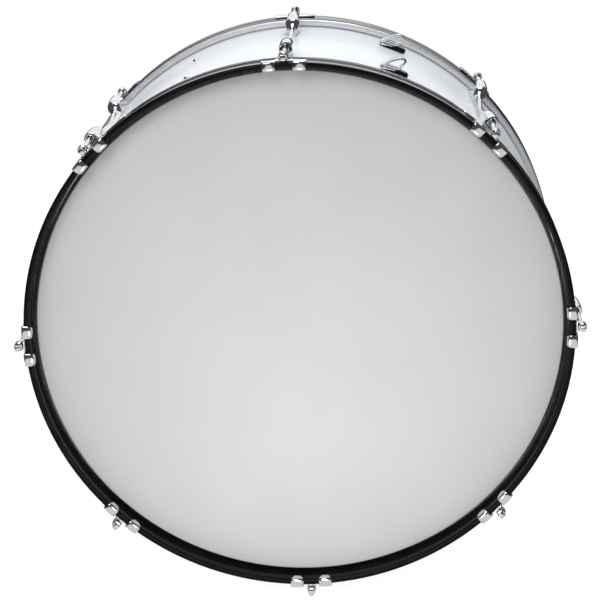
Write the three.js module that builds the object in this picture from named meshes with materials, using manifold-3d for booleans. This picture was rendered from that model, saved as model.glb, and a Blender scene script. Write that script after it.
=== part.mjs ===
import * as THREE from "three";
import { mergeVertices } from "three/addons/utils/BufferGeometryUtils.js";
import Module from "manifold-3d";

// A marching bass drum in millimetres, +Z up. Its axis is Y, the front head is at -Y,
// and the origin is the middle of the drum. The lugs stand at every 45 degrees, one on top.
// Each piece is made at the front or on top and then turned about Y to its own place.

// Clearances between pieces
const fitGap = 0.3;
const boreGap = 0.5;
const cutOverrun = 2;
const mergeDistance = 0.001;

// Steps round the curves
const ringSteps = 56;
const cornerSteps = 2;
const archSteps = 6;
const boreSteps = 8;
const screwSteps = 8;

// Shell
const shellRadius = 330.5;
const shellWall = 6.5;
const shellDepth = 305;
const edgeInset = 5.2;
const edgeRound = 1;
const edgeSteps = 1;
const edgeTilt = THREE.MathUtils.degToRad(21);

// Heads
const filmThickness = 0.6;
const fleshHoopInset = 0.6;
const fleshHoopWidth = 5;
const fleshHoopRound = 1.2;

// Counterhoops
const hoopBoreGap = 0.8;
const hoopWall = 7.8;
const hoopWidth = 35;
const hoopOverhang = 23.2;
const hoopFrontRound = 3;
const hoopGrooveStart = 15;
const hoopGrooveWidth = 10;
const hoopGrooveDepth = 0.8;

// Tension rods
const lugCount = 8;
const rodStandoff = 7;
const rodRadius = 3;
const rodBallRadius = 5.8;
const rodBallSetback = 3.4;
const rodBallSteps = 3;
const rodKeyWidth = 6.4;
const rodKeyLength = 7;
const rodGrip = 33;

// Claw hooks
const clawWidth = 52.4;
const clawFootWidth = 16.7;
const clawWall = 2;
const clawTongueLength = 12;
const clawTongueStraight = 3;
const clawBackLength = 17;
const clawNotch = 5;
const clawEarRadius = 5.8;
const clawEarSetback = 3.5;
const clawEarLength = 3;

// Lugs
const bossWall = 3.9;
const bossSetback = 59.5;
const bossLength = 47;
const mouthWidth = 15.5;
const mouthBaseWidth = 18;
const bellyWidth = 18.6;
const bellyBaseWidth = 12;
const ridgeWidth = 6;
const ridgeBaseWidth = 9;
// A lug's sections: the place as a share of the boss's length, and the crest as one of the lug's height
const mouthShares = [0, 1];
const neckShares = [0.4, 1];
const bellyShares = [0.78, 0.94];
const chinShares = [0.95, 0.84];
const throatShares = [1.05, 0.62];
const ridgeStartShares = [1.22, 0.52];
const ridgeMiddleShare = 0.34;
const chinWidthShare = 0.85;
const throatWidthShare = 0.5;

// Carrier brackets and the screws of the spare holes
const bracketTurn = 22.8;
const bracketSpacing = 169;
const bracketWidth = 36.5;
const bracketLength = 14;
const bracketThickness = 4.5;
const bracketFloor = 1.4;
const bracketScrewSpread = 22;
const loopHeight = 17;
const loopWidth = 8;
// The loop's outlines: across the bracket as shares of its width, and up as shares of the loop's height
const loopOutsideShares = [[-0.49, -0.06], [-0.49, 0], [-0.43, 0.2], [-0.3, 0.45], [-0.14, 0.72],
  [0.02, 0.94], [0.12, 1], [0.22, 0.97], [0.28, 0.84], [0.27, 0.64], [0.2, 0.36], [0.16, 0], [0.16, -0.06]];
const loopInsideShares = [[-0.27, 0.26], [-0.12, 0.52], [0.04, 0.78], [0.12, 0.84], [0.19, 0.78],
  [0.2, 0.64], [0.13, 0.38], [0.07, 0.24], [-0.2, 0.16]];
const spareScrewSpacing = 120;
const screwRadius = 2;
const screwHeadRadius = 3.6;
const screwHeadHeight = 2.4;
const screwTail = 3;

// Places that follow from the sizes
const hoopFront = -(shellDepth / 2 + hoopOverhang);
const hoopBack = hoopFront + hoopWidth;
const filmBack = -shellDepth / 2 - fitGap;
const collarRadius = shellRadius + fitGap + filmThickness;
const hoopInnerRadius = collarRadius + hoopBoreGap;
const hoopOuterRadius = hoopInnerRadius + hoopWall;
const shellInnerRadius = shellRadius - shellWall;
const rodAxisRadius = hoopOuterRadius + rodStandoff;
const fleshHoopFront = hoopBack + fitGap;
const rodSeat = hoopFront + clawEarSetback - fitGap;
const lugFoot = shellRadius + fitGap;
const lugHeight = rodAxisRadius + rodRadius + boreGap + bossWall - lugFoot;
const plateTop = lugFoot + bracketThickness;

const wasm = await Module();
wasm.setup();

const glossWhite = new THREE.MeshStandardMaterial({ color: 0xf2f4f8, roughness: 0.15, metalness: 0 });
const filmWhite = new THREE.MeshStandardMaterial({ color: 0xececea, roughness: 0.6, metalness: 0 });
const lacquerBlack = new THREE.MeshStandardMaterial({ color: 0x0c0c0e, roughness: 0.1, metalness: 0 });
const chrome = new THREE.MeshStandardMaterial({ color: 0xc8cace, roughness: 0.12, metalness: 1 });
const aluminium = new THREE.MeshStandardMaterial({ color: 0xb0b3b6, roughness: 0.35, metalness: 1 });

const marchingBassDrum = new THREE.Group();

// The frames that turn an outline's plane: its first axis, its second axis and its depth
const alongX = new THREE.Matrix4().makeBasis(
  new THREE.Vector3(0, 1, 0), new THREE.Vector3(0, 0, 1), new THREE.Vector3(1, 0, 0));
const alongY = new THREE.Matrix4().makeBasis(
  new THREE.Vector3(0, 0, 1), new THREE.Vector3(1, 0, 0), new THREE.Vector3(0, 1, 0));
const alongZ = new THREE.Matrix4();

function solidOf(geometry) {
  const bare = geometry.clone();
  bare.deleteAttribute("normal");
  bare.deleteAttribute("uv");
  const merged = mergeVertices(bare, mergeDistance);
  return new wasm.Manifold(new wasm.Mesh({
    numProp: 3,
    vertProperties: merged.attributes.position.array,
    triVerts: new Uint32Array(merged.index.array),
  }));
}

function geometryOf(solid) {
  const mesh = solid.getMesh();
  const geometry = new THREE.BufferGeometry();
  geometry.setAttribute("position", new THREE.BufferAttribute(mesh.vertProperties, 3));
  geometry.setIndex(new THREE.BufferAttribute(mesh.triVerts, 1));
  geometry.computeVertexNormals();
  return geometry;
}

function addPiece(name, geometry, material, turn = 0, mirrored = false) {
  const mesh = new THREE.Mesh(geometry, material);
  mesh.name = name;
  mesh.scale.y = mirrored ? -1 : 1;
  mesh.rotation.y = turn;
  marchingBassDrum.add(mesh);
}

// An outline pushed along an axis, centred on zero or starting at a place
function extruded(shape, depth, frame, start = -depth / 2) {
  const geometry = new THREE.ExtrudeGeometry(shape, { depth, bevelEnabled: false, curveSegments: archSteps });
  geometry.translate(0, 0, start);
  geometry.applyMatrix4(frame);
  return geometry;
}

function polygon(points) {
  return new THREE.Shape(points.map(([x, y]) => new THREE.Vector2(x, y)));
}

function rectangle(left, right, low, high) {
  return polygon([[left, low], [right, low], [right, high], [left, high]]);
}

// The points of an arc, both ends included
function arcPoints(centreX, centreY, radius, from, to, steps) {
  const points = [];
  for (let i = 0; i <= steps; i++) {
    const angle = from + ((to - from) * i) / steps;
    points.push([centreX + radius * Math.cos(angle), centreY + radius * Math.sin(angle)]);
  }
  return points;
}

// A closed ring about the drum's axis from its section of [radius, y] points
function ringOf(points) {
  const closed = [...points, points[0]].map(([r, y]) => new THREE.Vector2(r, y));
  return new THREE.LatheGeometry(closed, ringSteps);
}

function cylinderAlongY(radius, from, to, x, z, steps) {
  const geometry = new THREE.CylinderGeometry(radius, radius, to - from, steps);
  return geometry.translate(x, (from + to) / 2, z);
}

// The outside of a bearing edge, or a skin laid over it: round the edge and down the taper to the cylinder
function edgeOutline(offset) {
  const peak = shellRadius - edgeInset;
  const centre = -shellDepth / 2 + edgeRound;
  const round = edgeRound + offset;
  const tilted = arcPoints(peak, centre, round, -Math.PI / 2, -edgeTilt, edgeSteps);
  const slope = (shellRadius + offset - peak - round * Math.cos(edgeTilt)) / Math.sin(edgeTilt);
  const taperEnd = centre - round * Math.sin(edgeTilt) + slope * Math.cos(edgeTilt);
  return [...tilted, [shellRadius + offset, taperEnd]];
}

// Shell: a ply tube with a 45 degree cut inside each bearing edge and a taper outside
function shellGeometry() {
  const half = shellDepth / 2;
  const cut = shellWall - edgeInset;
  const outside = edgeOutline(0);
  const tube = ringOf([
    [shellInnerRadius, half - cut],
    [shellInnerRadius, -half + cut],
    ...outside,
    ...[...outside].reverse().map(([r, y]) => [r, -y]),
  ]);
  let shell = solidOf(tube);
  for (const hole of screwPlaces()) {
    const drill = drillGeometry(shellInnerRadius - cutOverrun, shellRadius + cutOverrun);
    drill.translate(hole.x, hole.y, 0);
    drill.rotateY(hole.turn);
    shell = shell.subtract(solidOf(drill));
  }
  return geometryOf(shell);
}

// What a screw hole takes out, upright between two radii
function drillGeometry(from, to) {
  const radius = screwRadius + boreGap;
  const drill = new THREE.CylinderGeometry(radius, radius, to - from, screwSteps);
  drill.rotateX(Math.PI / 2);
  return drill.translate(0, 0, (from + to) / 2);
}

// Head: the film, and its collar over the bearing edge down into the flesh hoop
function headGeometry() {
  const collarEnd = fleshHoopFront + fleshHoopWidth;
  const outside = edgeOutline(fitGap + filmThickness);
  const inside = edgeOutline(fitGap).reverse();
  const profile = [
    [0, filmBack - filmThickness],
    ...outside,
    [collarRadius, collarEnd],
    [collarRadius - filmThickness, collarEnd],
    ...inside,
    [0, filmBack],
  ];
  return new THREE.LatheGeometry(profile.map(([r, y]) => new THREE.Vector2(r, y)), ringSteps);
}

// Flesh hoop: the ring that grips the collar, under the counterhoop
function fleshHoopGeometry() {
  const inner = collarRadius + fitGap;
  const outer = hoopOuterRadius - fleshHoopInset;
  const back = fleshHoopFront + fleshHoopWidth;
  return ringOf([
    [inner, back],
    [inner, fleshHoopFront],
    [outer - fleshHoopRound, fleshHoopFront],
    [outer, fleshHoopFront + fleshHoopRound],
    [outer, back - fleshHoopRound],
    [outer - fleshHoopRound, back],
  ]);
}

// Counterhoop: a wooden hoop with a rounded front edge and a shallow groove outside
function counterhoopGeometry() {
  const round = hoopFrontRound;
  const grooveStart = hoopFront + hoopGrooveStart;
  const grooveEnd = grooveStart + hoopGrooveWidth;
  const grooveRadius = hoopOuterRadius - hoopGrooveDepth;
  return ringOf([
    [hoopInnerRadius, hoopBack],
    ...arcPoints(hoopInnerRadius + round, hoopFront + round, round, Math.PI, 1.5 * Math.PI, cornerSteps),
    ...arcPoints(hoopOuterRadius - round, hoopFront + round, round, -Math.PI / 2, 0, cornerSteps),
    [hoopOuterRadius, grooveStart],
    [grooveRadius, grooveStart],
    [grooveRadius, grooveEnd],
    [hoopOuterRadius, grooveEnd],
    [hoopOuterRadius, hoopBack],
  ]);
}

// Tension rod: a shaft, a round head and a square key end, on its own axis
function rodGeometry() {
  const keyHalf = rodKeyWidth / 2;
  const keyCorner = rodKeyWidth * Math.SQRT1_2;
  const ballMiddle = rodSeat - rodBallSetback;
  const ballFront = -Math.acos(keyCorner / rodBallRadius);
  const ballBack = Math.asin(rodBallSetback / rodBallRadius);
  const keyBase = ballMiddle + rodBallRadius * Math.sin(ballFront);
  const rodEnd = hoopFront + bossSetback + rodGrip;
  const points = [
    [0, keyBase],
    ...arcPoints(0, ballMiddle, rodBallRadius, ballFront, ballBack, rodBallSteps),
    [rodRadius, rodSeat],
    [rodRadius, rodEnd],
    [0, rodEnd],
  ].map(([r, y]) => new THREE.Vector2(r, y));
  const turned = new THREE.LatheGeometry(points, boreSteps);
  const keyFront = keyBase - rodKeyLength;
  const keySquare = rectangle(-keyHalf, keyHalf, -keyHalf, keyHalf);
  const key = extruded(keySquare, ballMiddle - keyFront, alongY, keyFront);
  const rod = solidOf(turned).add(solidOf(key));
  return geometryOf(rod).translate(0, 0, rodAxisRadius);
}

// One foot of a claw: a strip bent round the hoop's front edge, with a tongue inside the hoop
function clawFoot(side) {
  const footMiddle = (clawWidth - clawFootWidth) / 2;
  const footTurn = Math.atan2(footMiddle, hoopInnerRadius);
  const tongueOuter = hoopInnerRadius * Math.cos(Math.PI / ringSteps) - fitGap - mergeDistance;
  const tongueInner = tongueOuter - clawWall;
  const legInner = hoopOuterRadius + fitGap;
  const legOuter = legInner + clawWall;
  const plateBack = hoopFront - fitGap;
  const plateFront = plateBack - clawWall;
  const tongueEnd = plateFront + clawTongueLength;
  const roundStart = plateFront + clawTongueStraight;
  const strip = polygon([
    [plateFront + clawWall, tongueInner],
    [tongueEnd, tongueInner],
    [tongueEnd, tongueOuter],
    [plateBack, tongueOuter],
    [plateBack, legInner],
    [hoopFront + clawBackLength, legInner],
    [hoopFront + clawBackLength, legOuter],
    [plateFront + clawWall, legOuter],
    [plateFront, legInner],
    [plateFront, tongueOuter],
  ]);
  const hook = solidOf(extruded(strip, clawFootWidth, alongX));
  const halfWidth = clawFootWidth / 2 + cutOverrun;
  const noseLength = tongueEnd - roundStart;
  const nose = [[roundStart, clawFootWidth / 2]];
  for (let i = 1; i < archSteps; i++) {
    const angle = (Math.PI * i) / archSteps;
    nose.push([roundStart + noseLength * Math.sin(angle), (clawFootWidth / 2) * Math.cos(angle)]);
  }
  nose.push([roundStart, -clawFootWidth / 2]);
  const blank = polygon([
    [roundStart, halfWidth],
    ...nose,
    [roundStart, -halfWidth],
    [tongueEnd + cutOverrun, -halfWidth],
    [tongueEnd + cutOverrun, halfWidth],
  ]);
  const cutter = extruded(blank, clawWall + 2 * cutOverrun, alongZ, tongueInner - cutOverrun);
  cutter.applyMatrix4(new THREE.Matrix4().makeBasis(
    new THREE.Vector3(0, 1, 0), new THREE.Vector3(-1, 0, 0), new THREE.Vector3(0, 0, 1)));
  const cut = hook.subtract(solidOf(cutter));
  const foot = geometryOf(cut);
  foot.rotateY(side * footTurn);
  return solidOf(foot);
}

// Claw hook: two feet, the bridge across them outside the hoop, and the ear that the rod goes through
function clawGeometry() {
  const bridgeInner = hoopOuterRadius + fitGap;
  const bridgeFront = hoopFront + clawNotch;
  const bridgeBack = hoopFront + clawBackLength;
  const earFront = hoopFront + clawEarSetback;
  const bridge = extruded(
    rectangle(bridgeFront, bridgeBack, bridgeInner, bridgeInner + clawWall), clawWidth, alongX);
  const earOutline = polygon([
    [bridgeInner, -clawEarRadius],
    ...arcPoints(rodAxisRadius, 0, clawEarRadius, -Math.PI / 2, Math.PI / 2, archSteps),
    [bridgeInner, clawEarRadius],
  ]);
  const bore = arcPoints(rodAxisRadius, 0, rodRadius + boreGap, 0, 2 * Math.PI, boreSteps).slice(1);
  earOutline.holes.push(new THREE.Path(bore.map(([z, x]) => new THREE.Vector2(z, x))));
  const ear = extruded(earOutline, clawEarLength, alongY, earFront);
  const claw = clawFoot(1).add(clawFoot(-1)).add(solidOf(bridge)).add(solidOf(ear));
  return geometryOf(claw);
}

// One cross-section of a lug: a flat base on the shell and a round arch on top
function lugSection(y, crestShare, width, baseWidth) {
  const half = width / 2;
  const crest = lugFoot + lugHeight * crestShare;
  const arch = arcPoints(0, crest - half, half, 0, Math.PI, archSteps);
  const outline = [[-baseWidth / 2, lugFoot], [baseWidth / 2, lugFoot], ...arch];
  return outline.map(([x, z]) => new THREE.Vector3(x, y, z));
}

// A closed skin over a row of sections with the same number of points
function lofted(sections) {
  const around = sections[0].length;
  const positions = sections.flat().flatMap((point) => [point.x, point.y, point.z]);
  const indices = [];
  for (let row = 0; row + 1 < sections.length; row++) {
    for (let i = 0; i < around; i++) {
      const a = row * around + i;
      const b = row * around + ((i + 1) % around);
      indices.push(a, a + around, b, b, a + around, b + around);
    }
  }
  const flat = sections[0].map((point) => new THREE.Vector2(point.x, point.z));
  const last = (sections.length - 1) * around;
  for (const [a, b, c] of THREE.ShapeUtils.triangulateShape(flat, [])) {
    indices.push(a, b, c);
    indices.push(last + a, last + c, last + b);
  }
  const geometry = new THREE.BufferGeometry();
  geometry.setAttribute("position", new THREE.Float32BufferAttribute(positions, 3));
  geometry.setIndex(indices);
  return geometry;
}

// Lug: an egg-shaped boss for the rod at each end, and a low ridge between them
function lugGeometry() {
  const stations = [
    [...mouthShares, mouthWidth, mouthBaseWidth],
    [...neckShares, (mouthWidth + bellyWidth) / 2, (mouthBaseWidth + bellyBaseWidth) / 2],
    [...bellyShares, bellyWidth, bellyBaseWidth],
    [...chinShares, bellyWidth * chinWidthShare, bellyBaseWidth],
    [...throatShares, bellyWidth * throatWidthShare, ridgeBaseWidth],
    [...ridgeStartShares, ridgeWidth, ridgeBaseWidth],
  ];
  const mouth = hoopFront + bossSetback;
  const front = stations.map(([place, crest, width, base]) => {
    return lugSection(mouth + place * bossLength, crest, width, base);
  });
  const back = [...stations].reverse().map(([place, crest, width, base]) => {
    return lugSection(-mouth - place * bossLength, crest, width, base);
  });
  const middle = lugSection(0, ridgeMiddleShare, ridgeWidth, ridgeBaseWidth);
  const body = solidOf(lofted([...front, middle, ...back]));
  const boreEnd = mouth + rodGrip + fitGap;
  const boreRadius = rodRadius + boreGap;
  const frontBore = cylinderAlongY(boreRadius, mouth - cutOverrun, boreEnd, 0, rodAxisRadius, boreSteps);
  const backBore = cylinderAlongY(boreRadius, -boreEnd, cutOverrun - mouth, 0, rodAxisRadius, boreSteps);
  return geometryOf(body.subtract(solidOf(frontBore)).subtract(solidOf(backBore)));
}

// Where the shell is drilled: two screws for each bracket, and two spare holes on the other side
function screwPlaces() {
  const turn = THREE.MathUtils.degToRad(bracketTurn);
  const places = [];
  for (const end of [-1, 1]) {
    for (const side of [-1, 1]) {
      places.push({ x: (side * bracketScrewSpread) / 2, y: (end * bracketSpacing) / 2, turn, spare: false });
    }
  }
  for (const end of [-1, 1]) {
    places.push({ x: 0, y: (end * spareScrewSpacing) / 2, turn: -turn, spare: true });
  }
  return places;
}

// Carrier bracket: a plate with round ends on the shell, and a leaning loop for the carrier's hook
function bracketGeometry() {
  const endRadius = bracketLength / 2;
  const straight = bracketWidth / 2 - endRadius;
  const plateOutline = polygon([
    ...arcPoints(straight, 0, endRadius, -Math.PI / 2, Math.PI / 2, archSteps),
    ...arcPoints(-straight, 0, endRadius, Math.PI / 2, 1.5 * Math.PI, archSteps),
  ]);
  const plate = extruded(plateOutline, bracketThickness, alongZ, lugFoot);
  const placed = ([across, up]) => [plateTop + up * loopHeight, across * bracketWidth];
  const loopOutline = polygon(loopOutsideShares.map(placed));
  const hole = loopInsideShares.map(placed).map(([z, x]) => new THREE.Vector2(z, x));
  loopOutline.holes.push(new THREE.Path(hole));
  const loop = extruded(loopOutline, loopWidth, alongY);
  let bracket = solidOf(plate).add(solidOf(loop));
  for (const side of [-1, 1]) {
    const drill = drillGeometry(lugFoot - cutOverrun, plateTop - bracketFloor);
    drill.translate((side * bracketScrewSpread) / 2, 0, 0);
    bracket = bracket.subtract(solidOf(drill));
  }
  return geometryOf(bracket);
}

// A round-headed screw: its head stands on one radius and its shank ends at another
function screwGeometry(seat, tail) {
  const out = Math.sign(seat - tail);
  const rise = out * screwHeadHeight;
  const points = [
    [0, tail],
    [screwRadius, tail],
    [screwRadius, seat],
    [screwHeadRadius, seat],
    [screwHeadRadius, seat + rise / 2],
    [screwHeadRadius / 2, seat + rise],
    [0, seat + rise],
  ].map(([r, y]) => new THREE.Vector2(r, y));
  const ordered = out > 0 ? points : points.reverse();
  return new THREE.LatheGeometry(ordered, screwSteps).rotateX(Math.PI / 2);
}

function addRings() {
  addPiece("shell", shellGeometry(), glossWhite);
  for (const [end, mirrored] of [["front", false], ["rear", true]]) {
    addPiece(`${end}_head`, headGeometry(), filmWhite, 0, mirrored);
    addPiece(`${end}_flesh_hoop`, fleshHoopGeometry(), aluminium, 0, mirrored);
    addPiece(`${end}_counterhoop`, counterhoopGeometry(), lacquerBlack, 0, mirrored);
  }
}

function addTensioners() {
  for (let i = 0; i < lugCount; i++) {
    const turn = (2 * Math.PI * i) / lugCount;
    addPiece(`lug_${i + 1}`, lugGeometry(), chrome, turn);
    for (const [end, mirrored] of [["front", false], ["rear", true]]) {
      addPiece(`${end}_claw_${i + 1}`, clawGeometry(), chrome, turn, mirrored);
      addPiece(`${end}_rod_${i + 1}`, rodGeometry(), chrome, turn, mirrored);
    }
  }
}

function addCarrierMounts() {
  const turn = THREE.MathUtils.degToRad(bracketTurn);
  for (const [end, side] of [["front", -1], ["rear", 1]]) {
    const y = (side * bracketSpacing) / 2;
    addPiece(`${end}_bracket`, bracketGeometry().translate(0, y, 0), chrome, turn);
  }
  const facetRadius = shellInnerRadius * Math.cos(Math.PI / ringSteps);
  const headEdge = bracketScrewSpread / 2 + screwHeadRadius;
  const insideSeat = Math.sqrt(facetRadius ** 2 - headEdge ** 2) - fitGap;
  let bracketScrew = 0;
  let spareScrew = 0;
  for (const { x, y, turn: placeTurn, spare } of screwPlaces()) {
    const name = spare ? `spare_hole_screw_${++spareScrew}` : `bracket_screw_${++bracketScrew}`;
    const screw = spare
      ? screwGeometry(shellRadius + fitGap, shellInnerRadius - screwTail)
      : screwGeometry(insideSeat, plateTop - bracketFloor - fitGap);
    addPiece(name, screw.translate(x, y, 0), chrome, placeTurn);
  }
}

addRings();
addTensioners();
addCarrierMounts();

export default marchingBassDrum;
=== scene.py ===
import math
import bmesh
import bpy
from mathutils import Matrix, Vector


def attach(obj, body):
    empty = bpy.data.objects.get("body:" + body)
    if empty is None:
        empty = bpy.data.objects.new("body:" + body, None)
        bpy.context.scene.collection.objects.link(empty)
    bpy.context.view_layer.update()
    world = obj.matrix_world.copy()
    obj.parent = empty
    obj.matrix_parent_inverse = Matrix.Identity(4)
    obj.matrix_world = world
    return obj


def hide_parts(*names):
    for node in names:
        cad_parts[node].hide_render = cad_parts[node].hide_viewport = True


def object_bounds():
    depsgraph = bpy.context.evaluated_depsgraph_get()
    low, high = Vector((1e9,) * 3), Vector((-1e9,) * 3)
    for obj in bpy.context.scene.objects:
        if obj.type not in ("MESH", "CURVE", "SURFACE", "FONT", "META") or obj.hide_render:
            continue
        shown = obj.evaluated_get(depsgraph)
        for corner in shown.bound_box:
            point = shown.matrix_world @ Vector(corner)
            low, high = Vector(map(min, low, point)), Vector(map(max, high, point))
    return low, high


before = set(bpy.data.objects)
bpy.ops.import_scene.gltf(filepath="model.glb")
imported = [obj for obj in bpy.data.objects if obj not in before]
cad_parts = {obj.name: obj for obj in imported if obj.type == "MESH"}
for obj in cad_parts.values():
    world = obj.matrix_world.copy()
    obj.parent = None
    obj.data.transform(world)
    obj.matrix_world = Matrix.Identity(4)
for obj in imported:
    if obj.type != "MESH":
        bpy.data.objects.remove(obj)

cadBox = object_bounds()
drumBody = "drum"
hoopEnd = 0.1757    # metres from the middle to the outer end of each counterhoop
lugCount = 8
turnStep = 2 * math.pi / lugCount
print("frame loaded")


# Camera

camera = dict(
    azimuth=2.926,       # degrees round from straight in front
    elevation=19.420,    # degrees above the drum's axis
    distance=2.1182,     # metres from the middle of the front hoop's edge
    pan=0.106,           # degrees off that point
    tilt=1.219,
    roll=-2.015,
    spin=1.0,            # the drum is turned this far about its own axis
    lens=103.36,
    sensor=36.0,
)


def placeCamera():
    azimuth, elevation = math.radians(camera["azimuth"]), math.radians(camera["elevation"])
    away = Vector((
        math.sin(azimuth) * math.cos(elevation),
        -math.cos(azimuth) * math.cos(elevation),
        math.sin(elevation)))
    ahead = -away
    right = ahead.cross(Vector((0, 0, 1))).normalized()
    up = right.cross(ahead)
    pan, tilt, roll = (math.radians(camera[k]) for k in ("pan", "tilt", "roll"))
    ahead = (ahead + math.tan(pan) * right + math.tan(tilt) * up).normalized()
    right = ahead.cross(up).normalized()
    up = right.cross(ahead)
    rolledRight = math.cos(roll) * right + math.sin(roll) * up
    rolledUp = -math.sin(roll) * right + math.cos(roll) * up
    turned = Matrix((rolledRight, rolledUp, -ahead)).transposed().to_4x4()
    turned.translation = away * camera["distance"]
    spin = Matrix.Rotation(math.radians(camera["spin"]), 4, "Y")
    data = bpy.data.cameras.new("Camera")
    data.lens = camera["lens"]
    data.sensor_width = camera["sensor"]
    cam = bpy.data.objects.new("Camera", data)
    bpy.context.scene.collection.objects.link(cam)
    cam.matrix_world = Matrix.Translation((0, -hoopEnd, 0)) @ spin @ turned
    bpy.context.scene.camera = cam


placeCamera()
print("camera placed")


# Materials

tonePlaces = (0.3, 0.7)    # where on the noise the first tone ends and the second begins


def newMaterial(name):
    material = bpy.data.materials.new(name)
    material.use_nodes = True
    nodes = material.node_tree.nodes
    return material, nodes, material.node_tree.links, nodes["Principled BSDF"]


def addNoise(nodes, links, scale, stretch=(1, 1, 1)):
    where = nodes.new("ShaderNodeTexCoord")
    mapping = nodes.new("ShaderNodeMapping")
    mapping.inputs["Scale"].default_value = stretch
    noise = nodes.new("ShaderNodeTexNoise")
    noise.inputs["Scale"].default_value = scale
    links.new(where.outputs["Object"], mapping.inputs["Vector"])
    links.new(mapping.outputs["Vector"], noise.inputs["Vector"])
    return noise.outputs["Fac"]


def addRange(nodes, links, source, given, wanted=(0, 1), kind="LINEAR"):
    # source from one given value to the other becomes the wanted ones
    spread = nodes.new("ShaderNodeMapRange")
    spread.interpolation_type = kind
    for name, value in zip(("From Min", "From Max", "To Min", "To Max"), (*given, *wanted)):
        spread.inputs[name].default_value = value
    links.new(source, spread.inputs["Value"])
    return spread.outputs["Result"]


def addMath(nodes, links, operation, first, second=None):
    step = nodes.new("ShaderNodeMath")
    step.operation = operation
    links.new(first, step.inputs[0])
    if second is not None:
        links.new(second, step.inputs[1])
    return step.outputs[0]


def addTones(nodes, links, shader, noise, finish):
    ramp = nodes.new("ShaderNodeValToRGB")
    for element, place, tone in zip(ramp.color_ramp.elements, tonePlaces, finish["tones"]):
        element.position = place
        element.color = (*tone, 1)
    links.new(noise, ramp.inputs["Fac"])
    links.new(ramp.outputs["Color"], shader.inputs["Base Color"])


def addRoughness(nodes, links, shader, noise, finish):
    links.new(addRange(nodes, links, noise, (0, 1), finish["roughness"]), shader.inputs["Roughness"])


def addBump(nodes, links, shader, noise, finish):
    bump = nodes.new("ShaderNodeBump")
    bump.inputs["Strength"].default_value = finish["bump"]
    bump.inputs["Distance"].default_value = finish["bumpDepth"]
    links.new(noise, bump.inputs["Height"])
    links.new(bump.outputs["Normal"], shader.inputs["Normal"])


whiteLacquer = dict(
    tones=((0.82, 0.85, 0.90), (0.84, 0.87, 0.92)), roughness=(0.26, 0.32), gloss=0.2,
    cloud=6, ripple=40, bump=0.02, bumpDepth=0.001)


def makeWhiteLacquer():
    material, nodes, links, shader = newMaterial("glossWhiteLacquer")
    cloud = addNoise(nodes, links, whiteLacquer["cloud"])
    addTones(nodes, links, shader, cloud, whiteLacquer)
    addRoughness(nodes, links, shader, cloud, whiteLacquer)
    shader.inputs["Specular IOR Level"].default_value = whiteLacquer["gloss"]
    addBump(nodes, links, shader, addNoise(nodes, links, whiteLacquer["ripple"]), whiteLacquer)
    return material


blackLacquer = dict(
    tones=((0.004, 0.004, 0.0045), (0.009, 0.009, 0.010)), roughness=(0.05, 0.12), gloss=0.08,
    cloud=30, grain=120, grainStretch=(1, 0.2, 1), bump=0.02, bumpDepth=0.0004)
# how polished each hoop is, by the distance in metres from its outer end, and the radii between
# which the polish sets in: only the outside has it, not the wall that faces the head
hoopPolish = dict(
    roughness=0.05, outside=(0.3365, 0.338),
    front=((0.0015, 0), (0.003, 1), (0.0085, 1), (0.0105, 0),
           (0.026, 0), (0.028, 1), (0.0345, 1), (0.036, 0)),
    rear=((0.007, 0), (0.009, 1), (0.0345, 1), (0.036, 0)))


def addPolish(nodes, links, shader):
    where = nodes.new("ShaderNodeTexCoord")
    split = nodes.new("ShaderNodeSeparateXYZ")
    links.new(where.outputs["Object"], split.inputs[0])
    stops = [(place / hoopEnd / 2, weight) for place, weight in hoopPolish["front"]]
    stops += [(1 - place / hoopEnd / 2, weight) for place, weight in reversed(hoopPolish["rear"])]
    ramp = nodes.new("ShaderNodeValToRGB")
    for (place, weight), element in zip((stops[0], stops[-1]), ramp.color_ramp.elements):
        element.position = place
        element.color = (weight, weight, weight, 1)
    for place, weight in stops[1:-1]:
        ramp.color_ramp.elements.new(place).color = (weight, weight, weight, 1)
    links.new(addRange(nodes, links, split.outputs["Y"], (-hoopEnd, hoopEnd)), ramp.inputs["Fac"])
    flat = nodes.new("ShaderNodeVectorMath")
    flat.operation = "MULTIPLY"
    flat.inputs[1].default_value = (1, 0, 1)
    links.new(where.outputs["Object"], flat.inputs[0])
    radius = nodes.new("ShaderNodeVectorMath")
    radius.operation = "LENGTH"
    links.new(flat.outputs[0], radius.inputs[0])
    outer = addRange(nodes, links, radius.outputs["Value"], hoopPolish["outside"])
    links.new(addMath(nodes, links, "MULTIPLY", ramp.outputs["Color"], outer), shader.inputs["Coat Weight"])
    shader.inputs["Coat Roughness"].default_value = hoopPolish["roughness"]


def makeBlackLacquer():
    material, nodes, links, shader = newMaterial("glossBlackLacquer")
    cloud = addNoise(nodes, links, blackLacquer["cloud"])
    addTones(nodes, links, shader, cloud, blackLacquer)
    addRoughness(nodes, links, shader, cloud, blackLacquer)
    shader.inputs["Specular IOR Level"].default_value = blackLacquer["gloss"]
    addPolish(nodes, links, shader)
    grain = addNoise(nodes, links, blackLacquer["grain"], blackLacquer["grainStretch"])
    addBump(nodes, links, shader, grain, blackLacquer)
    return material


coatedFilm = dict(
    tones=((0.675, 0.675, 0.67), (0.70, 0.70, 0.695)), roughness=(0.5, 0.62),
    cloud=9, grit=900, bump=0.15, bumpDepth=0.0002)


def makeCoatedFilm():
    material, nodes, links, shader = newMaterial("coatedFilm")
    addTones(nodes, links, shader, addNoise(nodes, links, coatedFilm["cloud"]), coatedFilm)
    grit = addNoise(nodes, links, coatedFilm["grit"])
    addRoughness(nodes, links, shader, grit, coatedFilm)
    addBump(nodes, links, shader, grit, coatedFilm)
    return material


chromePlate = dict(
    tones=((0.74, 0.75, 0.77), (0.80, 0.81, 0.83)), roughness=(0.03, 0.07),
    cloud=60, cast=160, bump=0.015, bumpDepth=0.0003)


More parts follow.
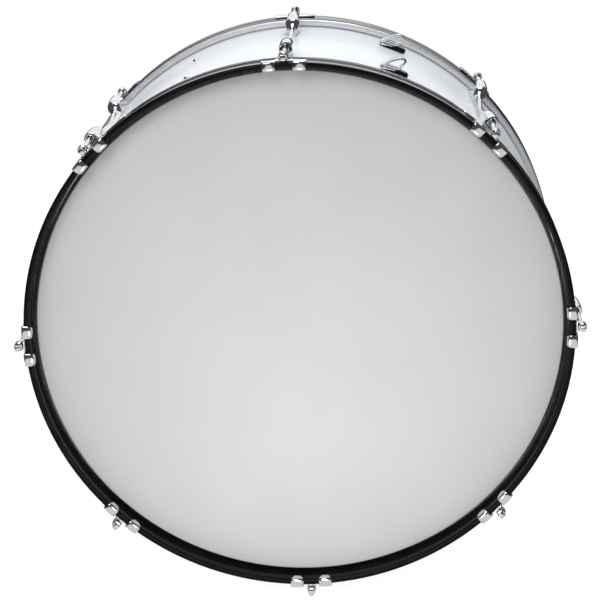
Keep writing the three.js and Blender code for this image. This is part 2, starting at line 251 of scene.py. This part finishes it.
def makeChrome():
    material, nodes, links, shader = newMaterial("chromePlate")
    cloud = addNoise(nodes, links, chromePlate["cloud"])
    addTones(nodes, links, shader, cloud, chromePlate)
    addRoughness(nodes, links, shader, cloud, chromePlate)
    shader.inputs["Metallic"].default_value = 1
    addBump(nodes, links, shader, addNoise(nodes, links, chromePlate["cast"]), chromePlate)
    return material


satinAluminium = dict(
    tones=((0.77, 0.78, 0.80), (0.84, 0.85, 0.87)), roughness=(0.42, 0.55),
    streak=90, streakStretch=(1, 6, 1))


def makeAluminium():
    material, nodes, links, shader = newMaterial("satinAluminium")
    streak = addNoise(nodes, links, satinAluminium["streak"], satinAluminium["streakStretch"])
    addTones(nodes, links, shader, streak, satinAluminium)
    addRoughness(nodes, links, shader, streak, satinAluminium)
    shader.inputs["Metallic"].default_value = 1
    return material


lacquerWhite = makeWhiteLacquer()
lacquerBlack = makeBlackLacquer()
filmWhite = makeCoatedFilm()
chrome = makeChrome()
aluminium = makeAluminium()
print("materials made")


# Mesh helpers

weldDistance = 1e-6
spinWeld = 1e-7


def faceOutward(bm):
    # every connected shape gets one winding, and is turned round where its volume comes out negative
    bmesh.ops.recalc_face_normals(bm, faces=bm.faces)
    waiting = set(bm.faces)
    while waiting:
        shape, queue = [], [waiting.pop()]
        while queue:
            face = queue.pop()
            shape.append(face)
            near = {f for edge in face.edges for f in edge.link_faces} & waiting
            waiting -= near
            queue.extend(near)
        volume = 0
        for face in shape:
            first, *rest = [v.co for v in face.verts]
            volume += sum(first.dot(a.cross(b)) for a, b in zip(rest, rest[1:]))
        if volume < 0:
            bmesh.ops.reverse_faces(bm, faces=shape)


def joinPart(bm, part):
    mesh = bpy.data.meshes.new("part")
    part.to_mesh(mesh)
    part.free()
    bm.from_mesh(mesh)
    bpy.data.meshes.remove(mesh)


def finishMesh(bm, name, material, body, node, sharpAngle=35):
    bmesh.ops.remove_doubles(bm, verts=bm.verts, dist=weldDistance)
    faceOutward(bm)
    mesh = bpy.data.meshes.new(name)
    bm.to_mesh(mesh)
    bm.free()
    mesh.shade_smooth()
    mesh.set_sharp_from_angle(angle=math.radians(sharpAngle))
    mesh.materials.append(material)
    piece = bpy.data.objects.new(name, mesh)
    bpy.context.scene.collection.objects.link(piece)
    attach(piece, body)
    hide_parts(node)


def bevelEdges(bm, edges, width, segments=2):
    bmesh.ops.bevel(
        bm, geom=edges, offset=width, offset_type="OFFSET", affect="EDGES",
        segments=segments, profile=0.5, material=-1, clamp_overlap=True)


def bevelSharp(bm, width, segments=2, minAngle=50):
    bmesh.ops.recalc_face_normals(bm, faces=bm.faces)
    edges = [e for e in bm.edges if e.is_manifold and e.calc_face_angle(0) > math.radians(minAngle)]
    bevelEdges(bm, edges, width, segments)


def spinProfile(bm, profile, steps, centre=(0, 0, 0), closed=True):
    # profile: (radius, y) pairs in metres, spun round a line along Y through centre
    base = Vector(centre)
    verts = [bm.verts.new(base + Vector((0, y, r))) for r, y in profile]
    pairs = list(zip(verts, verts[1:]))
    if closed:
        pairs.append((verts[-1], verts[0]))
    edges = [bm.edges.new(pair) for pair in pairs]
    bmesh.ops.spin(
        bm, geom=verts + edges, cent=base, axis=(0, 1, 0), dvec=(0, 0, 0),
        angle=2 * math.pi, steps=steps, use_merge=True)
    bmesh.ops.remove_doubles(bm, verts=bm.verts, dist=spinWeld)


def bridgeRow(bm, rings):
    # rings: lists of points, each a closed outline; neighbours are bridged into one skin
    loops = []
    for ring in rings:
        verts = [bm.verts.new(point) for point in ring]
        loops.append([bm.edges.new(pair) for pair in zip(verts, verts[1:] + verts[:1])])
    for first, second in zip(loops, loops[1:]):
        bmesh.ops.bridge_loops(bm, edges=first + second)
    return loops


def makeRing(outside, inside, y, depth, bevel, segments):
    # a flat ring between two outlines of (x, z) points, thickened along Y
    bm = bmesh.new()
    bridgeRow(bm, [[Vector((x, y, z)) for x, z in outline] for outline in (outside, inside)])
    back = bmesh.ops.extrude_face_region(bm, geom=bm.faces[:])["geom"]
    bmesh.ops.translate(bm, vec=(0, depth, 0), verts=[g for g in back if isinstance(g, bmesh.types.BMVert)])
    bevelSharp(bm, bevel, segments)
    return bm


def smoothThrough(keys, perSpan, closed=False):
    # a curve through the key values that keeps their order (Catmull-Rom)
    count = len(keys)
    spans = count if closed else count - 1
    result = []
    for span in range(spans):
        near = [keys[(span + k) % count] if closed else keys[min(max(span + k, 0), count - 1)]
                for k in (-1, 0, 1, 2)]
        for step in range(perSpan):
            t = step / perSpan
            result.append(tuple(
                0.5 * (2 * b + (c - a) * t + (2 * a - 5 * b + 4 * c - d) * t * t
                       + (3 * b - a - 3 * c + d) * t * t * t)
                for a, b, c, d in zip(*near)))
    if not closed:
        result.append(tuple(keys[-1]))
    return result


def mirrorEnd(bm):
    bmesh.ops.scale(bm, vec=(1, -1, 1), verts=bm.verts)


def turnRound(bm, angle):
    bmesh.ops.rotate(bm, cent=(0, 0, 0), matrix=Matrix.Rotation(angle, 3, "Y"), verts=bm.verts)


ringSteps = 288


# Shell

shell = dict(
    radius=0.3305, wall=0.0065, halfDepth=0.1525,
    edgeInset=0.0052, edgeRound=0.001, edgeTilt=math.radians(21))


def edgeOutline(offset, steps=6):
    # the outside of the front bearing edge, or a skin laid over it: round the edge, then down the taper
    peak = shell["radius"] - shell["edgeInset"]
    centre = -shell["halfDepth"] + shell["edgeRound"]
    rounding = shell["edgeRound"] + offset
    tilt = shell["edgeTilt"]
    points = []
    for step in range(steps + 1):
        angle = -math.pi / 2 + (math.pi / 2 - tilt) * step / steps
        points.append((peak + rounding * math.cos(angle), centre + rounding * math.sin(angle)))
    slope = (shell["radius"] + offset - peak - rounding * math.cos(tilt)) / math.sin(tilt)
    points.append((shell["radius"] + offset, centre - rounding * math.sin(tilt) + slope * math.cos(tilt)))
    return points


def makeShell():
    inner = shell["radius"] - shell["wall"]
    half = shell["halfDepth"]
    cut = shell["wall"] - shell["edgeInset"]
    outside = edgeOutline(0)
    bm = bmesh.new()
    spinProfile(bm, [(inner, half - cut), (inner, -half + cut)] + outside
                + [(r, -y) for r, y in reversed(outside)], ringSteps)
    finishMesh(bm, "shellTube", lacquerWhite, drumBody, "shell")


makeShell()
print("shell made")


# Heads

head = dict(thickness=0.0006, gap=0.0003, collarEnd=0.1354, rings=(0, 0.11, 0.22), sharpAngle=50)


def makeHead(end, mirrored):
    outside = edgeOutline(head["gap"] + head["thickness"])
    inside = edgeOutline(head["gap"])
    front, back = outside[0][1], inside[0][1]
    outer, inner = outside[-1][0], inside[-1][0]
    bm = bmesh.new()
    spinProfile(bm, [(r, front) for r in head["rings"]] + outside
                + [(outer, -head["collarEnd"]), (inner, -head["collarEnd"])]
                + inside[::-1] + [(r, back) for r in reversed(head["rings"])], ringSteps, closed=False)
    if mirrored:
        mirrorEnd(bm)
    finishMesh(bm, end + "HeadFilm", filmWhite, drumBody, end + "_head", head["sharpAngle"])


# Flesh hoops

fleshHoop = dict(inner=0.3317, outer=0.3394, front=0.1404, width=0.005, bevel=0.0011, bevelAngle=40)


def makeFleshHoop(end, mirrored):
    inner, outer = fleshHoop["inner"], fleshHoop["outer"]
    front, back = -fleshHoop["front"], -fleshHoop["front"] + fleshHoop["width"]
    bm = bmesh.new()
    spinProfile(bm, [(inner, front), (outer, front), (outer, back), (inner, back)], ringSteps)
    bevelSharp(bm, fleshHoop["bevel"], 3, fleshHoop["bevelAngle"])
    if mirrored:
        mirrorEnd(bm)
    finishMesh(bm, end + "FleshHoopRing", aluminium, drumBody, end + "_flesh_hoop")


# Counterhoops

counterhoop = dict(
    inner=0.3322, outer=0.3400, width=0.035, round=0.0029, roundSteps=6,
    grooveStart=0.015, grooveWidth=0.010, grooveDepth=0.0008,
    backBevel=0.0006, bevelAngle=30, cornerAngle=1, sharpAngle=50)


def makeCounterhoop(end, mirrored):
    inner, outer = counterhoop["inner"], counterhoop["outer"]
    front, back = -hoopEnd, -hoopEnd + counterhoop["width"]
    grooveFront = front + counterhoop["grooveStart"]
    grooveBack = grooveFront + counterhoop["grooveWidth"]
    floor = outer - counterhoop["grooveDepth"]
    bm = bmesh.new()
    spinProfile(bm, [
        (inner, back), (inner, front), (outer, front), (outer, grooveFront),
        (floor, grooveFront + counterhoop["grooveDepth"]), (floor, grooveBack - counterhoop["grooveDepth"]),
        (outer, grooveBack), (outer, back)], ringSteps)
    frontEdges = [e for e in bm.edges if all(abs(v.co.y - front) < weldDistance for v in e.verts)
                  and e.calc_face_angle(0) > counterhoop["cornerAngle"]]
    bevelEdges(bm, frontEdges, counterhoop["round"], counterhoop["roundSteps"])
    bevelSharp(bm, counterhoop["backBevel"], 2, counterhoop["bevelAngle"])
    if mirrored:
        mirrorEnd(bm)
    finishMesh(bm, end + "Hoop", lacquerBlack, drumBody, end + "_counterhoop",
               counterhoop["sharpAngle"])


for end, mirrored in (("front", False), ("rear", True)):
    makeHead(end, mirrored)
    makeFleshHoop(end, mirrored)
    makeCounterhoop(end, mirrored)
print("heads and hoops made")


# Tension rods

rod = dict(
    axis=0.347, radius=0.003, seat=-0.1725, end=-0.0832, ball=0.0058, ballSetback=0.0034, ballSteps=10,
    key=0.0064, keyLength=0.007, keyBevel=0.0006, steps=32, sharpAngle=40)


def makeRod(end, index, mirrored):
    middle = rod["seat"] - rod["ballSetback"]
    ball, key = rod["ball"], rod["key"]
    frontAngle = -math.acos(key * math.sqrt(0.5) / ball)
    backAngle = math.asin(rod["ballSetback"] / ball)
    keyBase = middle + ball * math.sin(frontAngle)
    steps = rod["ballSteps"]
    angles = [frontAngle + (backAngle - frontAngle) * step / steps for step in range(steps + 1)]
    bm = bmesh.new()
    spinProfile(bm, [(0, keyBase)] + [(ball * math.cos(a), middle + ball * math.sin(a)) for a in angles] + [
        (rod["radius"], rod["seat"]), (rod["radius"], rod["end"]), (0, rod["end"])],
        rod["steps"], (0, 0, rod["axis"]), closed=False)
    square = bmesh.ops.create_cube(bm, size=1)["verts"]
    keyFront = keyBase - rod["keyLength"]
    bmesh.ops.scale(bm, vec=(key, middle - keyFront, key), verts=square)
    bmesh.ops.translate(bm, vec=(0, (middle + keyFront) / 2, rod["axis"]), verts=square)
    bevelEdges(bm, list({e for v in square for e in v.link_edges}), rod["keyBevel"])
    if mirrored:
        mirrorEnd(bm)
    turnRound(bm, (index - 1) * turnStep)
    name = end + "_rod_" + str(index)
    finishMesh(bm, end + "TensionRod" + str(index), chrome, name + "_body", name, rod["sharpAngle"])


# Claw hooks

claw = dict(
    width=0.0524, foot=0.0167, wall=0.002, gap=0.0003, outerBend=0.0026, innerBend=0.0048,
    tongueLength=0.009, noseLength=0.016, crown=0.0014, noseEnd=0.35, back=0.017, notch=0.005,
    ear=0.0058, earSetback=0.0035, earLength=0.003, earSpread=1.4, earSteps=40, bore=0.0035, bevel=0.0005,
    tongueGap=0.0006, footSteps=8, bridgeSteps=(24, 4))


def clawPath(steps=8):
    # the visible side of a foot's strip as (y, z) points: leg, front plate, tongue
    front = -hoopEnd - claw["gap"] - claw["wall"]
    top = counterhoop["outer"] + claw["gap"] + claw["wall"]
    low = counterhoop["inner"] - claw["gap"] - claw["tongueGap"] - claw["wall"]
    big, small = claw["innerBend"], claw["outerBend"]
    points = [(-hoopEnd + claw["back"], top), (-hoopEnd + claw["notch"], top)]
    for step in range(steps + 1):
        angle = math.pi / 2 * step / steps
        points.append((front + small - small * math.sin(angle), top - small + small * math.cos(angle)))
    for step in range(steps + 1):
        angle = math.pi / 2 * step / steps
        points.append((front + big - big * math.cos(angle), low + big - big * math.sin(angle)))
    for step in range(1, steps + 1):
        points.append((front + big + (claw["tongueLength"] - big) * step / steps, low))
    return points


def makeFoot(side):
    bm = bmesh.new()
    path = clawPath()
    lengths = [0]
    for (y0, z0), (y1, z1) in zip(path, path[1:]):
        lengths.append(lengths[-1] + math.hypot(y1 - y0, z1 - z0))
    noseStart = lengths[-1] - claw["noseLength"]
    grid = bmesh.ops.create_grid(bm, x_segments=claw["footSteps"], y_segments=len(path) - 1, size=1)["verts"]
    rows = sorted({round(v.co.y, 5) for v in grid})
    for vert in grid:
        row = rows.index(round(vert.co.y, 5))
        along = max(0, lengths[row] - noseStart) / claw["noseLength"]
        half = claw["foot"] / 2 * math.sqrt(max(1 - along * along, claw["noseEnd"] ** 2))
        # the foot's face bulges a little across its width
        bulge = claw["crown"] * (1 - vert.co.x ** 2)
        y, z = path[row]
        vert.co = Vector((vert.co.x * half, y - bulge, z))
    skin = list({f for v in grid for f in v.link_faces})
    bmesh.ops.recalc_face_normals(bm, faces=skin)
    lead = min(skin, key=lambda f: f.calc_center_median().y)
    inward = claw["wall"] if lead.normal.y < 0 else -claw["wall"]
    bmesh.ops.solidify(bm, geom=skin, thickness=inward)
    bevelSharp(bm, claw["bevel"])
    turnRound(bm, side * math.atan2((claw["width"] - claw["foot"]) / 2, counterhoop["inner"]))
    return bm


def makeBridge():
    bm = bmesh.new()
    legIn = counterhoop["outer"] + claw["gap"]
    front = -hoopEnd + claw["notch"]
    back = -hoopEnd + claw["back"]
    columns, rows = claw["bridgeSteps"]
    grid = bmesh.ops.create_grid(bm, x_segments=columns, y_segments=rows, size=1)["verts"]
    for vert in grid:
        x = vert.co.x * claw["width"] / 2
        y = (front + back) / 2 + vert.co.y * (back - front) / 2
        vert.co = Vector((x, y, math.sqrt((legIn + claw["wall"]) ** 2 - x * x)))
    skin = list({f for v in grid for f in v.link_faces})
    bmesh.ops.recalc_face_normals(bm, faces=skin)
    inward = claw["wall"] if skin[0].normal.z > 0 else -claw["wall"]
    bmesh.ops.solidify(bm, geom=skin, thickness=inward)
    bevelSharp(bm, claw["bevel"])
    return bm


def makeEar():
    # a tab on the bridge with a round top, bored for the rod; its lower half is spread and cut square
    front = -hoopEnd + claw["earSetback"]
    foot = rod["axis"] - counterhoop["outer"] - claw["gap"] - claw["wall"] / 2
    outside, bore = [], []
    spread = claw["earSpread"]
    for step in range(claw["earSteps"]):
        angle = 2 * math.pi * step / claw["earSteps"]
        across, up = math.cos(angle), math.sin(angle)
        bore.append((claw["bore"] * across, rod["axis"] + claw["bore"] * up))
        if up >= 0:
            outside.append((claw["ear"] * across, rod["axis"] + claw["ear"] * up))
        else:
            outside.append((claw["ear"] * max(-1, min(1, spread * across)),
                            rod["axis"] + foot * max(-1, spread * up)))
    return makeRing(outside, bore, front, claw["earLength"], claw["bevel"], 2)


def makeClaw(end, index, mirrored):
    bm = bmesh.new()
    for part in (makeFoot(-1), makeFoot(1), makeBridge(), makeEar()):
        joinPart(bm, part)
    if mirrored:
        mirrorEnd(bm)
    turnRound(bm, (index - 1) * turnStep)
    finishMesh(bm, end + "ClawHook" + str(index), chrome, drumBody, end + "_claw_" + str(index))


# Lugs

# stations: place along the boss, crest as a share of the lug's height, width, width of the base
lug = dict(
    foot=0.3308, top=0.3544, mouth=-0.1162, bossLength=0.047, boreLength=0.0333, bore=0.0035, bevel=0.0007,
    sideSteps=5, archSteps=18, spanSteps=6, sharpAngle=40,
    stations=(
        (0, 1, 0.0155, 0.018),
        (0.4, 1, 0.01705, 0.015),
        (0.78, 0.94, 0.0186, 0.012),
        (0.95, 0.84, 0.0158, 0.012),
        (1.05, 0.62, 0.0093, 0.009),
        (1.22, 0.52, 0.006, 0.009),
        (1.6, 0.45, 0.006, 0.009)),
    ridgeShare=0.34)


def lugSection(y, crestShare, width, base):
    height = lug["top"] - lug["foot"]
    half = width / 2
    crest = lug["foot"] + height * crestShare
    centre = crest - half
    sideSteps, archSteps = lug["sideSteps"], lug["archSteps"]
    right = []
    for step in range(sideSteps):
        up = step / sideSteps
        right.append((base / 2 + (half - base / 2) * math.sin(up * math.pi / 2),
                      lug["foot"] + (centre - lug["foot"]) * up))
    angles = [math.pi * step / archSteps for step in range(archSteps + 1)]
    arch = [(half * math.cos(angle), centre + half * math.sin(angle)) for angle in angles]
    left = [(-x, z) for x, z in reversed(right)]
    return [Vector((x, y, z)) for x, z in right + arch + left]


def boreRing(section, y):
    # a round outline with one point for each of the section's, seen from the rod's axis
    ring = []
    for point in section:
        angle = math.atan2(point.z - rod["axis"], point.x)
        ring.append(Vector((lug["bore"] * math.cos(angle), y, rod["axis"] + lug["bore"] * math.sin(angle))))
    return ring


def makeLug(index):
    front = [(lug["mouth"] + place * lug["bossLength"], *rest) for place, *rest in lug["stations"]]
    middle = [(0, lug["ridgeShare"], *lug["stations"][-1][2:])]
    keys = front + middle + [(-y, *rest) for y, *rest in reversed(front)]
    rings = [lugSection(*key) for key in smoothThrough(keys, lug["spanSteps"])]
    deep = lug["mouth"] + lug["boreLength"]
    rings = [boreRing(rings[0], deep), boreRing(rings[0], lug["mouth"])] + rings + [
        boreRing(rings[-1], -lug["mouth"]), boreRing(rings[-1], -deep)]
    bm = bmesh.new()
    loops = bridgeRow(bm, rings)
    bmesh.ops.holes_fill(bm, edges=loops[0] + loops[-1], sides=0)
    bevelSharp(bm, lug["bevel"], 3)
    turnRound(bm, (index - 1) * turnStep)
    finishMesh(bm, "lugBody" + str(index), chrome, drumBody, "lug_" + str(index), lug["sharpAngle"])


for index in range(1, lugCount + 1):
    makeLug(index)
    for end, mirrored in (("front", False), ("rear", True)):
        makeRod(end, index, mirrored)
        makeClaw(end, index, mirrored)
print("lugs, claws and rods made")


# Carrier brackets

# outlines of the loop: across as shares of the plate's width, up as shares of the loop's height
# padTop: how high the black pad is at each place across
bracket = dict(
    turn=math.radians(22.8), spacing=0.169, foot=0.3308, width=0.0365, length=0.014, thickness=0.0045,
    plateBevel=0.0008, plateLift=0.0001, plateEnd=0.0012, plateSteps=(30, 6), roundEnd=0.98,
    loopHeight=0.017, loopWidth=0.008, loopBevel=0.0009, loopSteps=5,
    padTop=((-0.0165, 0.0004), (0.0015, 0.0044), (0.0080, 0.0064), (0.0150, 0.0056), (0.01825, 0.0040)),
    outside=((-0.49, 0), (-0.43, 0.2), (-0.3, 0.45), (-0.14, 0.72), (0.02, 0.94), (0.12, 1),
             (0.22, 0.97), (0.28, 0.84), (0.27, 0.64), (0.2, 0.36), (0.16, 0), (-0.16, -0.06)),
    inside=((-0.27, 0.24), (-0.19, 0.4), (-0.12, 0.52), (-0.03, 0.67), (0.04, 0.78), (0.12, 0.84),
            (0.19, 0.78), (0.2, 0.64), (0.17, 0.5), (0.13, 0.38), (0.07, 0.24), (-0.1, 0.2)))


def padHeight(across):
    keys = bracket["padTop"]
    for (x0, z0), (x1, z1) in zip(keys, keys[1:]):
        if across <= x1:
            return z0 + (z1 - z0) * max(0, across - x0) / (x1 - x0)
    return keys[-1][1]


def makeSlab(y, left, right, low, high):
    # a slab on the bracket's round-ended plan; low and high give its heights at a place across,
    # and roundEnd says how far into its round end the grid goes
    radius = bracket["length"] / 2
    straight = bracket["width"] / 2 - radius
    bm = bmesh.new()
    columns, rows = bracket["plateSteps"]
    grid = bmesh.ops.create_grid(bm, x_segments=columns, y_segments=rows, size=1)["verts"]
    for vert in grid:
        x = (left + right) / 2 + vert.co.x * (right - left) / 2
        past = min(max(abs(x) - straight, 0) / radius, bracket["roundEnd"])
        half = radius * math.sqrt(1 - past * past)
        vert.co = Vector((x, y + vert.co.y * half, bracket["foot"] + high(x)))
    top = list({f for v in grid for f in v.link_faces})
    under = bmesh.ops.extrude_face_region(bm, geom=top)["geom"]
    for vert in (g for g in under if isinstance(g, bmesh.types.BMVert)):
        vert.co.z = bracket["foot"] + low(vert.co.x)
    bevelSharp(bm, bracket["plateBevel"], 3)
    return bm


def makePad(end, y):
    bm = makeSlab(y, bracket["padTop"][0][0], bracket["width"] / 2, lambda x: 0, padHeight)
    turnRound(bm, bracket["turn"])
    finishMesh(bm, end + "CarrierPad", lacquerBlack, drumBody, end + "_bracket")


def makeBracket(end, y):
    top = bracket["foot"] + bracket["thickness"]
    plateUnder = bracket["thickness"] - bracket["plateEnd"]
    bm = makeSlab(y, -bracket["width"] / 2, bracket["padTop"][1][0],
                  lambda x: min(padHeight(x) + bracket["plateLift"], plateUnder),
                  lambda x: bracket["thickness"])
    outside, inside = (
        [(across * bracket["width"], top + up * bracket["loopHeight"])
         for across, up in smoothThrough(bracket[kind], bracket["loopSteps"], True)]
        for kind in ("outside", "inside"))
    depth = bracket["loopWidth"]
    joinPart(bm, makeRing(outside, inside, y - depth / 2, depth, bracket["loopBevel"], 3))
    turnRound(bm, bracket["turn"])
    finishMesh(bm, end + "CarrierBracket", chrome, drumBody, end + "_bracket")


for end, side in (("front", -1), ("rear", 1)):
    makePad(end, side * bracket["spacing"] / 2)
    makeBracket(end, side * bracket["spacing"] / 2)


# Round-headed screws: two inside under each bracket, two in the spare holes

screw = dict(
    radius=0.002, head=0.0036, rise=0.0024, bracketSpread=0.022, insideSeat=0.3226, insideTip=0.3336,
    spareSpacing=0.12, spareSeat=0.3308, spareTip=0.321, domeSteps=8, steps=24)


def makeScrew(name, node, x, y, turn, seat, tip):
    out = 1 if seat > tip else -1
    steps = screw["domeSteps"]
    dome = []
    for step in range(steps + 1):
        angle = math.pi / 2 * step / steps
        dome.append((screw["head"] * math.cos(angle), seat + out * screw["rise"] * math.sin(angle)))
    bm = bmesh.new()
    spinProfile(bm, [(0, tip), (screw["radius"], tip), (screw["radius"], seat)] + dome,
                screw["steps"], closed=False)
    bmesh.ops.rotate(bm, cent=(0, 0, 0), matrix=Matrix.Rotation(math.pi / 2, 3, "X"), verts=bm.verts)
    bmesh.ops.translate(bm, vec=(x, y, 0), verts=bm.verts)
    turnRound(bm, turn)
    finishMesh(bm, name, chrome, drumBody, node)


places = [(side, across) for side in (-1, 1) for across in (-1, 1)]
for number, (side, across) in enumerate(places, 1):
    makeScrew("bracketScrew" + str(number), "bracket_screw_" + str(number),
              across * screw["bracketSpread"] / 2, side * bracket["spacing"] / 2,
              bracket["turn"], screw["insideSeat"], screw["insideTip"])
for number, side in ((1, -1), (2, 1)):
    makeScrew("spareHoleScrew" + str(number), "spare_hole_screw_" + str(number), 0,
              side * screw["spareSpacing"] / 2, -bracket["turn"], screw["spareSeat"], screw["spareTip"])
print("brackets and screws made")


# Light and floor

studio = dict(
    floorDrop=0.001, floorSize=12, floorColor=0.8, floorRoughness=0.9, seenGlow=0.92, seenColor=0.25,
    worldLight=0.5, frontShade=0.3, shadeStart=-0.8, shadeEnd=-0.2,
    mirrorShade=0.08, mirrorBack=(-0.3, 0.1), mirrorSide=(0.5, 0.28), mirrorUp=(0.03, 0.09),
    mirrorFloor=0.06, mirrorFloorEnd=(0.3, -0.1), mirrorFloorShare=0.62, mirrorFloorSide=(1.4, 0.7),
    keyPower=23, keySize=1.3, keyPlace=(-0.6, -2.1, 1.8),
    fillPower=0.8, fillSize=0.3, fillPlace=(0.0, -0.6, -0.19),
    topPower=45, topSize=1.2, topPlace=(0.4, 1.0, 2.9))


def addSoftStep(nodes, links, source, given, wanted=(0, 1)):
    return addRange(nodes, links, source, given, wanted, "SMOOTHSTEP")


def addSeen(nodes, links, mirrorShare):
    # one where the camera looks or a clear surface shows it, and a share of that in a mirror
    path = nodes.new("ShaderNodeLightPath")
    looked, clear, glossy = (path.outputs[name] for name in (
        "Is Camera Ray", "Is Transmission Ray", "Is Glossy Ray"))
    straight = addMath(nodes, links, "MAXIMUM", looked, clear)
    mirrored = addMath(nodes, links, "MULTIPLY", glossy, mirrorShare)
    return addMath(nodes, links, "MAXIMUM", straight, mirrored), glossy


def addMix(nodes, links, factor, first, second):
    # first and second are sockets or numbers
    mix = nodes.new("ShaderNodeMix")
    links.new(factor, mix.inputs["Factor"])
    for name, value in (("A", first), ("B", second)):
        if isinstance(value, (int, float)):
            mix.inputs[name].default_value = value
        else:
            links.new(value, mix.inputs[name])
    return mix.outputs["Result"]


def makeWorld():
    world = bpy.data.worlds.new("studio")
    bpy.context.scene.world = world
    world.use_nodes = True
    nodes, links = world.node_tree.nodes, world.node_tree.links
    background = nodes["Background"]
    where = nodes.new("ShaderNodeTexCoord")
    split = nodes.new("ShaderNodeSeparateXYZ")
    links.new(where.outputs["Generated"], split.inputs[0])
    light = addSoftStep(nodes, links, split.outputs["Y"], (studio["shadeStart"], studio["shadeEnd"]),
                      (studio["frontShade"], studio["worldLight"]))
    # metal shows the white background behind the drum, and a dark room at its sides and in front
    behind = addSoftStep(nodes, links, split.outputs["Y"], studio["mirrorBack"])
    sideways = addMath(nodes, links, "ABSOLUTE", split.outputs["X"])
    within = addSoftStep(nodes, links, sideways, studio["mirrorSide"])
    raised = addSoftStep(nodes, links, split.outputs["Z"], studio["mirrorUp"])
    share = addMath(nodes, links, "MULTIPLY", addMath(nodes, links, "MULTIPLY", behind, within), raised)
    seen, glossy = addSeen(nodes, links, share)
    room = addMix(nodes, links, glossy, light, studio["mirrorShade"])
    links.new(addMix(nodes, links, seen, room, 1), background.inputs["Strength"])
    background.inputs["Color"].default_value = (1, 1, 1, 1)


def makeFloor():
    bm = bmesh.new()
    bmesh.ops.create_grid(bm, x_segments=1, y_segments=1, size=studio["floorSize"] / 2)
    bmesh.ops.translate(bm, vec=(0, 0, cadBox[0].z - studio["floorDrop"]), verts=bm.verts)
    mesh = bpy.data.meshes.new("floor")
    bm.to_mesh(mesh)
    bm.free()
    floor = bpy.data.objects.new("floor", mesh)
    bpy.context.scene.collection.objects.link(floor)
    material, nodes, links, shader = newMaterial("paleFloor")
    shader.inputs["Roughness"].default_value = studio["floorRoughness"]
    where = nodes.new("ShaderNodeTexCoord")
    split = nodes.new("ShaderNodeSeparateXYZ")
    links.new(where.outputs["Object"], split.inputs[0])
    # the camera sees white, darkened a little where the drum shades it, and metal sees a share in front
    ahead = addSoftStep(nodes, links, split.outputs["Y"], studio["mirrorFloorEnd"],
                        (0, studio["mirrorFloorShare"]))
    sideways = addMath(nodes, links, "ABSOLUTE", split.outputs["X"])
    within = addSoftStep(nodes, links, sideways, studio["mirrorFloorSide"])
    share = addMath(nodes, links, "MULTIPLY", ahead, within)
    seen, glossy = addSeen(nodes, links, share)
    tone = addMix(nodes, links, glossy, studio["floorColor"], studio["mirrorFloor"])
    links.new(tone, shader.inputs["Base Color"])
    plain = nodes.new("ShaderNodeBsdfDiffuse")
    plain.inputs["Color"].default_value = (studio["seenColor"],) * 3 + (1,)
    glow = nodes.new("ShaderNodeEmission")
    glow.inputs["Strength"].default_value = studio["seenGlow"]
    lit = nodes.new("ShaderNodeAddShader")
    links.new(plain.outputs[0], lit.inputs[0])
    links.new(glow.outputs[0], lit.inputs[1])
    mix = nodes.new("ShaderNodeMixShader")
    links.new(seen, mix.inputs[0])
    links.new(shader.outputs[0], mix.inputs[1])
    links.new(lit.outputs[0], mix.inputs[2])
    links.new(mix.outputs[0], nodes["Material Output"].inputs["Surface"])
    mesh.materials.append(material)


def makeLamp(name, place, size, power):
    data = bpy.data.lights.new(name, "AREA")
    data.size = size
    data.energy = power
    lamp = bpy.data.objects.new(name, data)
    bpy.context.scene.collection.objects.link(lamp)
    lamp.location = place
    lamp.rotation_mode = "QUATERNION"
    lamp.rotation_quaternion = (-Vector(place)).to_track_quat("-Z", "Y")
    lamp.visible_camera = False


makeWorld()
makeFloor()
makeLamp("keyLight", studio["keyPlace"], studio["keySize"], studio["keyPower"])
makeLamp("fillLight", studio["fillPlace"], studio["fillSize"], studio["fillPower"])
makeLamp("topLight", studio["topPlace"], studio["topSize"], studio["topPower"])
bpy.context.scene.view_settings.view_transform = "Standard"
print("studio made")
